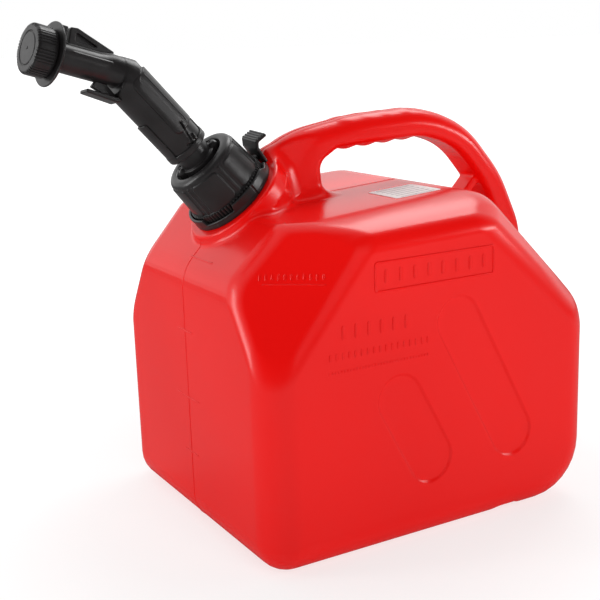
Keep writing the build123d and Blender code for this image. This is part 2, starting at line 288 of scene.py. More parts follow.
# ---------------------------------------------------------------- materials
class Look:
    """A node material built up one property at a time, in object space."""

    def __init__(self, name, roughness, **values):
        self.material = bpy.data.materials.new(name)
        self.material.use_nodes = True
        self.nodes = self.material.node_tree.nodes
        self.links = self.material.node_tree.links
        self.shader = self.nodes["Principled BSDF"]
        self.shader.inputs["Roughness"].default_value = roughness
        for socket, value in values.items():
            self.shader.inputs[socket.replace("_", " ")].default_value = value
        self.place = self.nodes.new("ShaderNodeTexCoord").outputs["Object"]
        self.bump = None

    def noise(self, scale, detail):
        """Noise with features about 1 / scale metres across."""
        texture = self.nodes.new("ShaderNodeTexNoise")
        texture.inputs["Scale"].default_value = scale
        texture.inputs["Detail"].default_value = detail
        self.links.new(self.place, texture.inputs["Vector"])
        return texture.outputs["Fac"]

    def ramp(self, source, *stops):
        """A colour or grey that follows source; each stop is a position and a colour or a number."""
        node = self.nodes.new("ShaderNodeValToRGB")
        self.links.new(source, node.inputs["Fac"])
        elements = node.color_ramp.elements
        while len(elements) < len(stops):
            elements.new(0.5)
        for element, (position, value) in zip(elements, stops):
            element.position = position
            element.color = (*value, 1) if isinstance(value, tuple) else (value, value, value, 1)
        return node.outputs["Color"]

    def mix(self, factor, low, high):
        """Two colours mixed by a factor that runs from 0 to 1."""
        node = self.nodes.new("ShaderNodeMix")
        node.data_type = "RGBA"
        self.feed(node.inputs["Factor"], factor)
        self.feed(node.inputs[6], low)
        self.feed(node.inputs[7], high)
        return node.outputs[2]

    def math(self, operation, first, second=0.0):
        node = self.nodes.new("ShaderNodeMath")
        node.operation = operation
        self.feed(node.inputs[0], first)
        self.feed(node.inputs[1], second)
        return node.outputs[0]

    def split(self, source):
        """The x, y and z of a place."""
        node = self.nodes.new("ShaderNodeSeparateXYZ")
        self.links.new(source, node.inputs[0])
        return node.outputs

    def feed(self, socket, value):
        if isinstance(value, tuple):
            socket.default_value = (*value, 1)
        elif isinstance(value, (int, float)):
            socket.default_value = value
        else:
            self.links.new(value, socket)

    def edges(self, low, high):
        """1 on sharp outer edges and 0 elsewhere, from how strongly the surface curves."""
        geometry = self.nodes.new("ShaderNodeNewGeometry")
        return self.ramp(geometry.outputs["Pointiness"], (low, 0.0), (high, 1.0))

    def colour(self, source):
        self.feed(self.shader.inputs["Base Color"], source)

    def roughness(self, source):
        self.feed(self.shader.inputs["Roughness"], source)

    def relief(self, source, height, strength=1.0):
        """Adds bumps of a height in metres."""
        node = self.nodes.new("ShaderNodeBump")
        node.inputs["Distance"].default_value = height
        node.inputs["Strength"].default_value = strength
        self.links.new(source, node.inputs["Height"])
        if self.bump:
            self.links.new(self.bump, node.inputs["Normal"])
        self.bump = node.outputs["Normal"]
        self.links.new(self.bump, self.shader.inputs["Normal"])


def red_plastic():
    """Blow-moulded polyethylene: glossy and slightly wavy, with a fine skin."""
    look = Look("red_polyethylene", 0.27, IOR=1.5, Specular_IOR_Level=0.37)
    look.colour(look.ramp(look.noise(9, 0.0), (0.0, (0.74, 0.0015, 0.001)), (1.0, (0.85, 0.0047, 0.003))))
    look.roughness(look.ramp(look.noise(24, 2.0), (0.0, 0.215), (1.0, 0.268)))
    look.relief(look.noise(14, 1.0), 0.0010, 0.22)
    look.relief(look.noise(1700, 3), 0.000015, 0.3)
    return look.material


def black_plastic():
    """Injection-moulded plastic: satin and finely grained, with a painted highlight that makes its sharp
    outer edges paler.
    """
    look = Look("black_plastic", 0.3, IOR=1.5)
    cloud = look.noise(70, 5)
    base = look.ramp(cloud, (0.3, (0.0085, 0.0075, 0.0078)), (0.72, (0.015, 0.0135, 0.014)))
    # painted highlight: the sharp outer edges are mixed towards a paler grey
    look.colour(look.mix(look.edges(0.53, 0.62), base, (0.035, 0.033, 0.033)))
    look.roughness(look.ramp(look.noise(240, 6), (0.3, 0.285), (0.75, 0.38)))
    look.relief(look.noise(90, 2), 0.0002, 0.15)
    look.relief(look.noise(2400, 3), 0.00003, 0.45)
    return look.material


def seal_rubber():
    look = Look("seal_rubber", 0.7, Sheen_Weight=0.2, Sheen_Roughness=0.6)
    look.colour(look.ramp(look.noise(180, 5), (0.3, (0.02, 0.02, 0.02)), (0.7, (0.035, 0.034, 0.033))))
    look.roughness(look.ramp(look.noise(420, 4), (0.3, 0.62), (0.7, 0.82)))
    look.relief(look.noise(2600, 4), 0.00004, 0.6)
    return look.material


def spring_steel():
    look = Look("spring_steel", 0.3, Metallic=1.0)
    look.colour(look.ramp(look.noise(300, 5), (0.3, (0.52, 0.52, 0.54)), (0.7, (0.68, 0.68, 0.69))))
    look.roughness(look.ramp(look.noise(900, 6), (0.3, 0.22), (0.7, 0.4)))
    look.relief(look.noise(5000, 3), 0.00001, 0.4)
    return look.material


def paper_label():
    """Off-white paper with plain grey bars where a label carries its print."""
    look = Look("paper_label", 0.55)
    fibres = look.ramp(look.noise(2500, 6), (0.3, (0.80, 0.79, 0.78)), (0.7, (0.87, 0.86, 0.855)))
    spread = look.split(look.place)
    rows = look.math("PINGPONG", spread["Y"], 0.003)
    printed = look.math("MULTIPLY", look.math("LESS_THAN", rows, 0.0011), look.noise(500, 2))
    wide = look.math("LESS_THAN", look.math("ABSOLUTE", look.math("SUBTRACT", spread["X"], 0.017)), 0.014)
    look.colour(look.mix(look.math("MULTIPLY", printed, wide), fibres, (0.12, 0.12, 0.12)))
    look.roughness(look.ramp(look.noise(800, 4), (0.3, 0.45), (0.7, 0.62)))
    look.relief(look.noise(2500, 6), 0.00003, 0.5)
    return look.material


def pale_floor():
    """Pale floor that brightens away from the object, so that it meets the white background."""
    look = Look("pale_floor", 0.7, Specular_IOR_Level=0.1)
    look.colour(look.ramp(look.noise(6, 3), (0.3, (0.29, 0.29, 0.29)), (0.7, (0.31, 0.31, 0.31))))
    away = look.nodes.new("ShaderNodeVectorMath")
    away.operation = "LENGTH"
    look.links.new(look.place, away.inputs[0])
    look.shader.inputs["Emission Color"].default_value = (1, 1, 1, 1)
    glow = look.ramp(away.outputs["Value"], (0.2, 0.7), (0.8, 1.0))
    look.feed(look.shader.inputs["Emission Strength"], glow)
    dim = look.nodes.new("ShaderNodeBsdfDiffuse")
    dim.inputs["Color"].default_value = (0.35, 0.35, 0.35, 1)
    blend = look.nodes.new("ShaderNodeMixShader")
    look.links.new(look.nodes.new("ShaderNodeLightPath").outputs["Is Glossy Ray"], blend.inputs[0])
    look.links.new(look.shader.outputs[0], blend.inputs[1])
    look.links.new(dim.outputs[0], blend.inputs[2])
    look.links.new(blend.outputs[0], look.nodes["Material Output"].inputs["Surface"])
    return look.material


RED = red_plastic()
BLACK = black_plastic()
RUBBER = seal_rubber()
STEEL = spring_steel()
PAPER = paper_label()


# ---------------------------------------------------------------- can body
HALF_LENGTH = 135.0
HALF_WIDTH = 118.5
WALL = 3.8  # a little over the true 3 mm, since it comes out thinner where three facets meet
HANDLE_HALF = 15.5
NECK_BORE = 19.6
NECK_RADIUS = 22.6
NECK_HEIGHT = 26.0
NECK_PITCH = 6.0
FILLING_FACET = (-0.589, 0.660, 0.464)  # outward from the front corner facet on the +y side

side_outline = outline(
    [(-HALF_LENGTH, 0), (HALF_LENGTH, 0), (HALF_LENGTH, 150), (56, 235), (-98.8, 224), (-HALF_LENGTH, 186)],
    [22, 44, 22, 34, 14, 32],
)
loop_outline = outline(
    [(-66, 196), (-90, 236), (-80, 257), (-46, 276), (5, 284.5), (66, 287)]
    + [(106, 270), (139, 232), (160, 187), (159, 140), (124, 100), (50, 170)],
    [12, 12, 16, 90, 200, 100, 80, 100, 60, 40, 12, 12],
)
gap_outline = outline(
    [(-9, 212), (-27, 233), (-29, 253), (-14, 262), (60, 266), (92, 256)]
    + [(119, 224), (138, 178), (140, 142), (110, 160), (60, 206)],
    [6, 20, 10, 12, 60, 60, 80, 30, 6, 10, 10],
)
groove_outline = outline([(46, -20), (52, 5), (74, 5), (79, -20)], [0, 6, 3, 0])
boss_outline = outline([(-5, -46), (22, -46), (38.2, -12), (38.6, 0), (-5, 0)], [0, 0, 6, 2, 0])
ring_space_outline = outline([(-5, 0), (34.6, 0), (41, 14), (50, 44), (-5, 44)])
CUT_PLANES = (  # a point, the outward direction and the edge's radius, on the +y side
    ((0, 118.5, 217.5), (-0.034, 0.464, 0.885), 8),
    ((82.2, 118.5, 177.5), (0.511, 0.663, 0.547), 8),
    ((-HALF_LENGTH, 70, 187), FILLING_FACET, 6),
)
RECESSES = ((35, 109, 134), (-24, 84, 86))  # centre x, z and length of each slanted recess
RECESS_HALF = 17.0
RECESS_DEPTH = 1.2
RECESS_LEAN = math.radians(62)
HANDLE_ROUNDING = 12.5
LEG_NARROWING = 0.36  # how fast the front leg narrows ahead of its slanted edge
FINGER_BUMPS = 4
BUMP_PITCH = 17.0
BUMP_RADIUS = 10.5


def handle_field(x, y, z):
    """Handle and rear leg: a rounded bar whose front leg is chamfered forwards from a slanted edge."""
    side = np.abs(y) - HANDLE_HALF
    bar = round_cut(loop_outline(x, z), side, HANDLE_ROUNDING)
    ahead = -0.896 * (x + 46) + 0.444 * (z - 246.2)
    chamfer = (side + LEG_NARROWING * ahead) / math.hypot(1, LEG_NARROWING)
    bar = round_cut(bar, chamfer, 2.5)
    bar = round_cut(bar, -gap_outline(x, z), 6)
    for index in range(FINGER_BUMPS):
        bump_x = -4 + BUMP_PITCH * index
        bump = np.hypot(x - bump_x, z - 271.4 - 0.055 * bump_x) - BUMP_RADIUS
        bar = round_union(bar, round_cut(bump, np.abs(y) - 9.5, 4), 3)
    return bar


def neck_cylinder(x, y, z):
    """Distance from the neck's axis and height along it."""
    row = (x, y, z)
    local = [sum(axis[i] * (row[i] - neck.origin[i]) for i in range(3)) for axis in neck.axes]
    return np.hypot(local[0], local[1]), local[2]


def top_features(x, y, z, block):
    """The block with its neck boss, handle and strut, where they all blend into it."""
    rho, height = neck_cylinder(x, y, z)
    bar = round_cut(handle_field(x, y, z), -ring_space_outline(rho, height), 3)
    web = round_cut(between(0.716 * (x - 84) - 0.698 * (z - 200), -1, 5.5), np.abs(y) - 9, 2)
    web = np.maximum(web, between(0.698 * x + 0.716 * z, 195, 252))
    body = round_union(block, boss_outline(rho, height), 5)
    body = round_union(body, bar, 11)
    return round_union(body, web, 3)


def can_outer(x, y, z):
    """The can's outer surface, without its neck tube."""
    side = np.abs(y)
    corner = 24 - 14 * smooth(z, 150, 200)
    block = round_cut(side_outline(x, z), side - HALF_WIDTH, corner)
    for point, normal, radius in CUT_PLANES:
        height = sum(n * (p - q) for n, p, q in zip(normal, (x, side, z), point))
        block = round_cut(block, height / np.linalg.norm(normal), radius)
    sunk = 0
    for at_x, at_z, length in RECESSES:
        reach = length / 2 - RECESS_HALF
        end_x, end_z = reach * math.cos(RECESS_LEAN), -reach * math.sin(RECESS_LEAN)
        apart = segment(x, z, (at_x - end_x, at_z - end_z), (at_x + end_x, at_z + end_z))
        sunk = np.maximum(sunk, smooth(RECESS_HALF - apart, -1.3, 1.3))
    block = block + RECESS_DEPTH * sunk * smooth(side, 112, 116)
    block = round_cut(block, -groove_outline(x, z), 2.5)
    if y.ndim == 3:  # a grid; loose points are worked out only where the top's features can reach
        return top_features(x, y, z, block)
    near = side < 60
    block[near] = top_features(x[near], y[near], z[near], block[near])
    return block


def can_field(x, y, z):
    """The can's wall: everything within a wall's thickness of the outer surface, open at the neck."""
    outer = can_outer(x, y, z)
    rho, height = neck_cylinder(x, y, z)
    bore = np.maximum(rho - NECK_BORE, between(height, -45, 31))  # through the wall, below and above
    return np.maximum(np.maximum(outer, -WALL - outer), -bore)


def neck_field(x, y, z):
    """The neck's tube with its thread."""
    rho = np.hypot(x, y)
    turn = np.arctan2(y, x) / (2 * np.pi)
    along = z - 10.5
    phase = (along / NECK_PITCH - turn + 0.5) % 1 - 0.5
    run = smooth(along, 0, 3) * smooth(14 - along, 0, 3)
    ridge = 1.4 * smooth(0.28 - np.abs(phase), 0, 0.12) * run
    wall = round_cut(rho - NECK_RADIUS - ridge, between(z, -4, NECK_HEIGHT), 0.8)
    return round_cut(wall, NECK_BORE - rho, 0.6)


carve("can_shell", can_field, (-140, -123, -3), (165, 123, 291), 1.3, UPRIGHT,
      RED, "can", ["can_body"])
carve("neck_tube", neck_field, (-26, -26, -6), (26, 26, 28), 0.7, neck,
      RED, "can", ["can_body"])


# ---------------------------------------------------------------- raised marks on the can
def spaced(points, spacing=1.2):
    """Points at even spacing along a polyline."""
    points = np.array(points, float)
    runs = np.linalg.norm(np.diff(points, axis=0), axis=1)
    along = np.concatenate([[0], np.cumsum(runs)])
    count = max(4, int(math.ceil(along[-1] / spacing)) + 1)
    at = np.linspace(0, along[-1], count)
    return np.stack([np.interp(at, along, points[:, k]) for k in range(3)], 1)


def ridge_mesh(line, out, half_width, height, closed):
    """Points, faces and normals of a half-round ridge along a line, where out points off the surface."""
    ahead = np.roll(line, -1, 0) - np.roll(line, 1, 0)
    ends = np.ones(len(line))
    if not closed:
        ahead[0] = line[1] - line[0]
        ahead[-1] = line[-1] - line[-2]
        from_first = np.linalg.norm(line - line[0], axis=1)
        from_last = np.linalg.norm(line - line[-1], axis=1)
        short = np.clip(1 - np.minimum(from_first, from_last) / half_width, 0, 1)
        ends = np.sqrt(np.clip(1 - short**2, 0.02, 1))
    across = unit(np.cross(unit(ahead), out))[:, None]
    out = out[:, None]
    ends = ends[:, None, None]
    angles = np.radians(np.linspace(-25, 205, 9))[None, :, None]
    rise = np.sin(angles) * height
    points = line[:, None] + ends * across * np.cos(angles) * half_width
    points = points + (ends * np.maximum(rise, 0) + np.minimum(rise, 0)) * out
    normals = np.cos(angles) * across * height / half_width + np.maximum(np.sin(angles), 0.05) * out
    ring = angles.shape[1]
    rows = len(line) if closed else len(line) - 1
    faces = []
    for row in range(rows):
        below, above = row * ring, (row + 1) % len(line) * ring
        for k in range(ring):
            next_k = (k + 1) % ring
            faces.append((below + k, above + k, above + next_k, below + next_k))
    if not closed:
        faces.append(tuple(range(ring)))
        faces.append(tuple(reversed(range((len(line) - 1) * ring, len(line) * ring))))
    return points.reshape(-1, 3), faces, unit(normals.reshape(-1, 3))


def raised(name, ridges):
    """One piece from many ridges: each is a line, a half width, a height and whether it is closed."""
    lines = [spaced(ridge[0]) for ridge in ridges]
    every = settle(can_outer, np.concatenate(lines), 6, 3.0)
    outs = unit(gradient(can_outer, every, 0.3))
    points, faces, normals = [], [], []
    start, count = 0, 0
    for line, (_, half_width, height, closed) in zip(lines, ridges):
        span = slice(start, start + len(line))
        some, some_faces, some_normals = ridge_mesh(every[span], outs[span], half_width, height, closed)
        points.append(some)
        normals.append(some_normals)
        faces += [tuple(corner + count for corner in face) for face in some_faces]
        start += len(line)
        count += len(some)
    piece = new_piece(name, np.concatenate(points), faces, np.concatenate(normals), RED, "can")


def in_middle(outline_points):
    """Points (x, z) in the plane of symmetry."""
    return [(x, 0, z) for x, z in outline_points]


def on_side(side_sign, *places):
    return [(x, side_sign * HALF_WIDTH, z) for x, z in places]


def upright_bars(side_sign, first, last, count, low, high, half_width):
    """A row of plain upright bars on a side wall."""
    return [
        (on_side(side_sign, (x, low), (x, high)), half_width, 0.35 + 0.3 * half_width, False)
        for x in np.linspace(first, last, count)
    ]


def level_bars(ends, count, tall, half_width):
    """A row of short upright bars on the front facet at the filling level."""
    start, end = (np.array(p, float) for p in ends)
    near_facet = np.array(FILLING_FACET) * (1, -1, 1)
    upward = np.cross(near_facet, end - start)
    upward *= tall / np.linalg.norm(upward) * np.sign(upward[2])
    return [([foot, foot + upward], half_width, 0.5, False) for foot in np.linspace(start, end, count)]


SEAM_LINES = (
    ((-126, 5), (-135, 24), (-135, 176), (-131, 190), (-119, 207)),
    ((-14, 229.6), (44, 233.5)),
    ((135, 92), (135, 50), (121, 13)),
    ((-83, 251), (-75, 261), (-46, 275), (5, 283), (66, 283))
    + ((100, 270), (132, 235), (153, 187), (155, 150)),
)
raised("moulding_seam", [(in_middle(line), 0.5, 0.32, False) for line in SEAM_LINES])

TICKS = ((196, -30, 5), (144.8, -12, 12), (96, -18, 20), (55, -11, 11))  # height and ends of each
ticks = []
for height, start, end in TICKS:
    front = -HALF_LENGTH + 0.9 * max(0, height - 186)  # the front slopes back above its corner
    ticks.append(([(front, start, height), (front, end, height)], 0.6, 0.45, False))
    ticks.append(([(front, start - 0.6, height), (front, start + 0.6, height)], 1.3, 0.6, False))
raised("seam_ticks", ticks)

FRAME_CORNERS = ((-54.5, 182.0), (40.8, 182.0), (40.8, 200.8), (-54.5, 200.8))
marks = []
for side_sign in (-1, 1):
    border = rounded_corners(FRAME_CORNERS, [1.5] * 4, 3)
    marks.append((on_side(side_sign, *border), 0.75, 0.7, True))
    marks += upright_bars(side_sign, -46, 32.5, 8, 186.5, 196.3, 1.5)
raised("panel_frames", marks)

marks = []
for side_sign in (-1, 1):
    marks += upright_bars(side_sign, -79, -31, 6, 154.5, 164.5, 1.4)
    marks += upright_bars(side_sign, -89, -14, 17, 141.8, 147.2, 0.9)
    marks += upright_bars(side_sign, -90, -14, 34, 133.2, 135.6, 0.5)
raised("panel_lines", marks)

marks = level_bars(((-118.5, -82.5, 192.2), (-87.5, -109.5, 193.2)), 11, 4.4, 0.75)
underline = [(-117.1, -84.2, 189.6), (-86.9, -110.8, 190.1)]
marks.append((underline, 0.4, 0.35, False))
for place in underline:
    marks.append(([place, (place[0] + 0.5, place[1] - 0.4, place[2])], 1.0, 0.5, False))
raised("level_line", marks)


# ---------------------------------------------------------------- lock ring, lever and collar
RING_RADIUS = 32.4
RING_WALL = 2.0
RING_TOP = 9.0
FLOOR_TOP = 2.6
RING_BORE = 24.4
WINDOW_AT = -138  # degrees round the ring, as for the ramp and the parting groove
RAMP_AT = -35
PARTING_AT = -80
LEVER_WIDTH = 24.0
PAD_SLOPE = 0.14
PAD_PITCH = 2.1
TEETH = 72
GRIP_RADIUS = 27.0
GRIP_HEIGHT = 21.2
COLLAR_BORE = 24.7
COLLAR_OPENING = 18.8
lever = neck.turned(LEVER_TURN)


def ring_field(x, y, z):
    """A floor and an upright wall with a low stretch and a ramp, a lever slot and a parting groove."""
    rho = np.hypot(x, y)
    ring_floor = round_cut(rho - RING_RADIUS, between(z, 0, FLOOR_TOP), 0.6)
    degrees = np.degrees(np.arctan2(y, x))
    window = smooth(24.5 - np.abs(degrees - WINDOW_AT), 0, 3)
    ramp = smooth(19 - np.abs(degrees - RAMP_AT), 0, 14)
    wall_top = RING_TOP - 4.2 * window - 3.6 * ramp
    upright = np.maximum(z - wall_top, 0.2 - z)
    wall = round_cut(between(rho, RING_RADIUS - RING_WALL, RING_RADIUS), upright, 0.7)
    body = np.maximum(round_union(ring_floor, wall, 0.6), RING_BORE - rho)
    out, across = out_and_across(x, y, LEVER_TURN)
    slot = np.maximum(rounded_box(across, z - 12.6, LEVER_WIDTH / 2 + 0.6, 10, 1), 26 - out)
    out, across = out_and_across(x, y, PARTING_AT)
    groove = np.maximum(np.hypot(across, rho - RING_RADIUS) - 0.8, -out)
    return round_cut(round_cut(body, -slot, 0.5), -groove, 0.3)


lever_outline = outline(
    [(30.6, 3.0), (31.9, 15.0), (35.2, 19.6), (43.9, 18.4)]
    + [(43.9, 16.2), (36.2, 17.2), (34.2, 14.6), (32.7, 3.0)],
    [0.5, 2, 1.5, 1, 1, 2, 3, 0.5],
)


def lever_field(x, y, z):
    """An upright plate with a ribbed thumb pad bent outwards, and a pawl inside its foot."""
    plate = round_cut(lever_outline(x, z), np.abs(y) - LEVER_WIDTH / 2, 0.9)
    along = x - 36.6 + PAD_SLOPE * (z - 19)
    beside = np.abs((along / PAD_PITCH + 0.5) % 1 - 0.5) * PAD_PITCH
    above = z - 19.55 + PAD_SLOPE * (x - 36.6)
    rib = np.maximum(np.hypot(beside, above) - 0.62, between(x, 35.8, 43.7))
    plate = round_union(plate, np.maximum(rib, np.abs(y) - LEVER_WIDTH / 2 + 0.9), 0.3)
    pawl = round_cut(np.maximum(between(x, 30.1, 32), between(z, 4.8, 8)), np.abs(y) - 3, 0.3)
    return np.minimum(plate, pawl)


collar_outline = outline(
    [(COLLAR_BORE, 3.4), (28.0, 3.4), (27.9, 11), (26.5, 33.4), (25.4, 36.2), (22.3, 37.6)]
    + [(COLLAR_OPENING, 37.4), (COLLAR_OPENING, 32.6), (COLLAR_BORE, 32.6)],
    [0, 0.4, 8, 4, 4, 5, 1.4, 0.5, 0],
)


def collar_field(x, y, z):
    """Tapered collar with six broad raised grip pads, a rib between each two, and fine teeth below."""
    rho = np.hypot(x, y)
    turn = np.degrees(np.arctan2(y, x))
    pad_middle = GRIP_RADIUS * np.radians((turn - 58 + 30) % 60 - 30)
    rib_middle = GRIP_RADIUS * np.radians((turn - 28 + 30) % 60 - 30)
    pad = rounded_box(pad_middle, z - GRIP_HEIGHT, 10.6, 11.6, 3)
    rib = rounded_box(rib_middle, z - GRIP_HEIGHT, 1.0, 12.0, 1)
    lift = 0.75 * smooth(-pad, -0.5, 0.7) + 0.6 * smooth(-rib, -0.5, 0.6) - 0.35
    shell = collar_outline(rho - lift * (rho > 26) * smooth(z, 8.5, 10.5) * smooth(36 - z, 0, 3), z)
    phase = (turn / 360 * TEETH) % 1
    tooth_reach = 28.2 + 1.5 * smooth(phase, 0, 0.25) * smooth(1 - phase, 0, 0.6)
    teeth = round_cut(round_cut(rho - tooth_reach, between(z, 3.4, 9.6), 0.4), COLLAR_BORE - rho, 0.2)
    return round_union(shell, teeth, 0.4)


carve("lock_ring_piece", ring_field, (-34, -34, -1), (34, 34, 10.4), 0.5, neck,
      BLACK, "can", ["lock_ring"])
carve("lock_lever", lever_field, (29, -13.4, 1.6), (45.6, 13.4, 21.8), 0.35, lever,
      BLACK, "lock_lever", ["lock_tab"])
carve("collar_piece", collar_field, (-31, -31, 2), (31, 31, 39), 0.5, neck,
      BLACK, "collar_ring", ["collar"])


# ---------------------------------------------------------------- spout
SLEEVE_RADIUS = 14.2
SLEEVE_BORE = 12.0
SLEEVE_LOW = 14.5
TUBE_RADIUS = 11.7
TUBE_BORE = 8.6
NOZZLE_RADIUS = 9.5
NOZZLE_BORE = 7.0
NOZZLE_LENGTH = 58.5
VENT_OFFSET = 13.6
VENT_BORE = 1.5
RAIL_HALF = 5.3
FIN_HALF = 3.5
TIP_PITCH = 3.5  # of the thread that the cap screws onto
FOOT_RADIUS = 13.4  # of the tube's thick foot, on whose edge the domes stand
DOME_TURNS = (-29.8, 150.2)  # degrees round the foot
DOME_RADIUS = 4.0
CLEARANCE = 0.03  # between a band or tongue and the spout that it lies on
bend = math.acos(float(nozzle.axes[2] @ spout.axes[2]))


def to_nozzle(x, z):
    """Coordinates in the nozzle's frame from those in the sleeve's frame."""
    up = z - ELBOW_HEIGHT
    return x * math.cos(bend) + up * math.sin(bend), up * math.cos(bend) - x * math.sin(bend)


def base_field(x, y, z):
    """Flange, fixed inner tube and two domed, dimpled bosses, in the spout's frame."""
    rho = np.hypot(x, y)
    flange = round_cut(rho - 24.2, between(z + SPOUT_FOOT, 27.85, 32.2), 0.4)
    tube = round_cut(rho - TUBE_RADIUS, between(z, -10.5, 40), 0.6)
    wide = round_cut(rho - FOOT_RADIUS, between(z, -5, 4), 0.8)
    body = round_union(round_union(flange, wide, 1), tube, 0.6)
    for degrees in DOME_TURNS:
        a = math.radians(degrees)
        apart = np.hypot(x - FOOT_RADIUS * math.cos(a), y - FOOT_RADIUS * math.sin(a))
        dome = np.where(z > 3, np.hypot(apart, z - 3), apart) - DOME_RADIUS
        dimple = np.hypot(apart, z - 8.4) - 2.6
        dome = round_cut(np.maximum(dome, -5 - z), -dimple, 0.4)
        body = round_union(body, dome, 0.4)
    groove = round_cut(TUBE_RADIUS - 1.4 - rho, between(z, 33, 35.2), 0.2)
    return np.maximum(np.maximum(body, TUBE_BORE - rho), -groove)


fin_outline = outline([(8, 6), (12, 6), (20.2, 32.4), (19.6, 37.2), (8, 37.6)], [0, 0, 3, 1, 0])
fin_hollow = outline([(11.3, 15.5), (17.3, 33.2), (11.3, 33.2)], [0.6, 1.2, 1.2])


def fin_field(xn, y, zn):
    """Fin with a three-cornered recess in each side, and the block round the air tube's mouth."""
    side = np.abs(y)
    fin = round_cut(fin_outline(xn, zn), side - FIN_HALF, 0.7)
    fin = round_cut(fin, -round_cut(fin_hollow(xn, zn), 1.4 - side, 0.4), 0.3)
    block = round_cut(rounded_box(xn - VENT_OFFSET, zn - 41.6, 6.0, 3.1, 1.0), side - 3.3, 1.0)
    return np.minimum(fin, block)


def tip_thread(xn, y, zn):
    """Height of the thread round the nozzle's tip."""
    phase = ((zn - 51.8) / TIP_PITCH - np.arctan2(y, xn) / (2 * np.pi) + 0.5) % 1 - 0.5
    run = smooth(zn, 50.4, 51.6) * smooth(57.4 - zn, 0, 1.4)
    return 1.3 * smooth(0.24 - np.abs(phase), 0, 0.14) * run


def spout_outer(x, y, z):
    """Sleeve, mitred bend and nozzle as one moulding, with the long side pads and the fin."""
    rho = np.hypot(x, y)
    xn, zn = to_nozzle(x, z)
    around = 15 * (np.arctan2(np.abs(y), x) - math.radians(66))
    pad = rounded_box(around, z - 52, 12.2, 23, 4.5)
    lift = 1.3 * smooth(-pad, -0.45, 0.45) * smooth(84 - z, 0, 4)
    crease = 0.5 * smooth(0.9 - np.abs(around), 0, 0.9) * smooth(-pad, 1.0, 4.0)
    sleeve = round_cut(rho - SLEEVE_RADIUS - lift - crease, between(z, SLEEVE_LOW, 110), 0.7)
    crest = NOZZLE_RADIUS + 1.5 * smooth(18 - zn, 0, 14)
    wide = NOZZLE_RADIUS + 5.4 * smooth(12 - zn, 0, 22)
    middle = crest - wide
    tall = np.where(xn > middle, wide, middle + NOZZLE_RADIUS)
    above = np.hypot(np.maximum(xn - middle, 0), y) - wide
    corner = round_cut(round_cut(sleeve, above, 0.5), zn - 1, 1.5)
    crown = (np.hypot((xn - middle) / tall, y / wide) - 1) * tall
    parting = 0.4 * smooth(0.8 - np.abs(xn - 3.2), 0, 0.7) * smooth(zn, 8, 10) * smooth(37 - zn, 0, 2)
    barrel = crown - tip_thread(xn, y, zn) - parting
    barrel = round_cut(barrel, between(zn, -9, NOZZLE_LENGTH), 0.8)
    body = round_union(corner, barrel, 0.5)
    return round_union(body, fin_field(xn, y, zn), 0.8)


def spout_field(x, y, z):
    """The moving spout with its bores and the latch slot in its near side."""
    body = spout_outer(x, y, z)
    rho = np.hypot(x, y)
    xn, zn = to_nozzle(x, z)
    sleeve_bore = round_cut(rho - SLEEVE_BORE, z - 72, 2)
    nozzle_bore = np.maximum(np.hypot(xn, y) - NOZZLE_BORE, between(zn, -2, 70))
    vent = np.maximum(np.hypot(xn - VENT_OFFSET, y) - VENT_BORE, between(zn, 38, 50))
    body = np.maximum(body, -round_union(sleeve_bore, nozzle_bore, 2))
    body = np.maximum(body, -vent)
    long_arm = segment(x, z, (1.4, 34), (-1.7, 18.6)) - 0.8
    short_arm = segment(x, z, (-1.7, 18.6), (-5.0, 20.2)) - 0.5
    slot = np.maximum(np.minimum(long_arm, short_arm), np.maximum(SLEEVE_RADIUS - 1.1 - rho, y))
    lug = np.maximum(segment(x, z, (2.6, 22.5), (2.0, 19.5)) - 0.7, rho - SLEEVE_RADIUS - 1.9)
    body = round_cut(body, -slot, 0.3)
    return np.minimum(body, np.maximum(lug, np.maximum(y, SLEEVE_BORE + 0.5 - rho)))


def retainer_field(x, y, z):
    """Band round the sleeve's foot with a broad rail up its front and its back."""
    rho = np.hypot(x, y)
    band = round_cut(rho - 15.6, between(z, SLEEVE_LOW - 0.5, 18.5), 0.7)
    rail = round_cut(rounded_box(y, z - 31, RAIL_HALF, 17.5, 1.5), rho - 15.45, 0.5)
    rail = np.where(x > 0, np.maximum(rail, z - 27), rail)
    return np.maximum(round_union(band, rail, 1.0), SLEEVE_RADIUS + CLEARANCE - rho)


tongue_outline = outline(
    [(-13.2, 70.6), (-13.2, 73), (-24.9, 93.0), (-27.1, 91.8), (-16.5, 71.6)],
    [0, 0.5, 0.9, 0.9, 2],
)
web_outline = outline([(-12.6, 74), (-11.4, 91), (-20.6, 90.8), (-16.4, 76)], [0, 0.5, 0.8, 0])


def hook_field(x, y, z):
    """Tongue that hooks on a filler's rim, stiffened by a three-cornered web, kept off the spout."""
    tongue = round_cut(tongue_outline(x, z), np.abs(y) - 5, 0.8)
    web = round_cut(web_outline(x, z), np.abs(y) - 1.6, 0.5)
    return np.maximum(round_union(tongue, web, 1.0), CLEARANCE - spout_outer(x, y, z))


DISC_BORE = NOZZLE_RADIUS + CLEARANCE
DISC_RADIUS = 20.5
disc_outline = outline(
    [(DISC_BORE, 46.2), (19.2, 46.2), (DISC_RADIUS, 47.1), (DISC_RADIUS, 48.2), (DISC_BORE, 48.2)],
    [0, 1, 0.5, 0.4, 0],
)


def disc_field(x, y, z):
    """A flat ring round the nozzle, bevelled at its lower edge."""
    return disc_outline(np.hypot(x, y), z)


CAP_LOW = 49.0
CAP_HIGH = 62.4
CAP_RADIUS = 15.3
CAP_BORE = 11.3
GROOVE_GROUPS = 8
GROOVE_PITCH = 7.5  # degrees


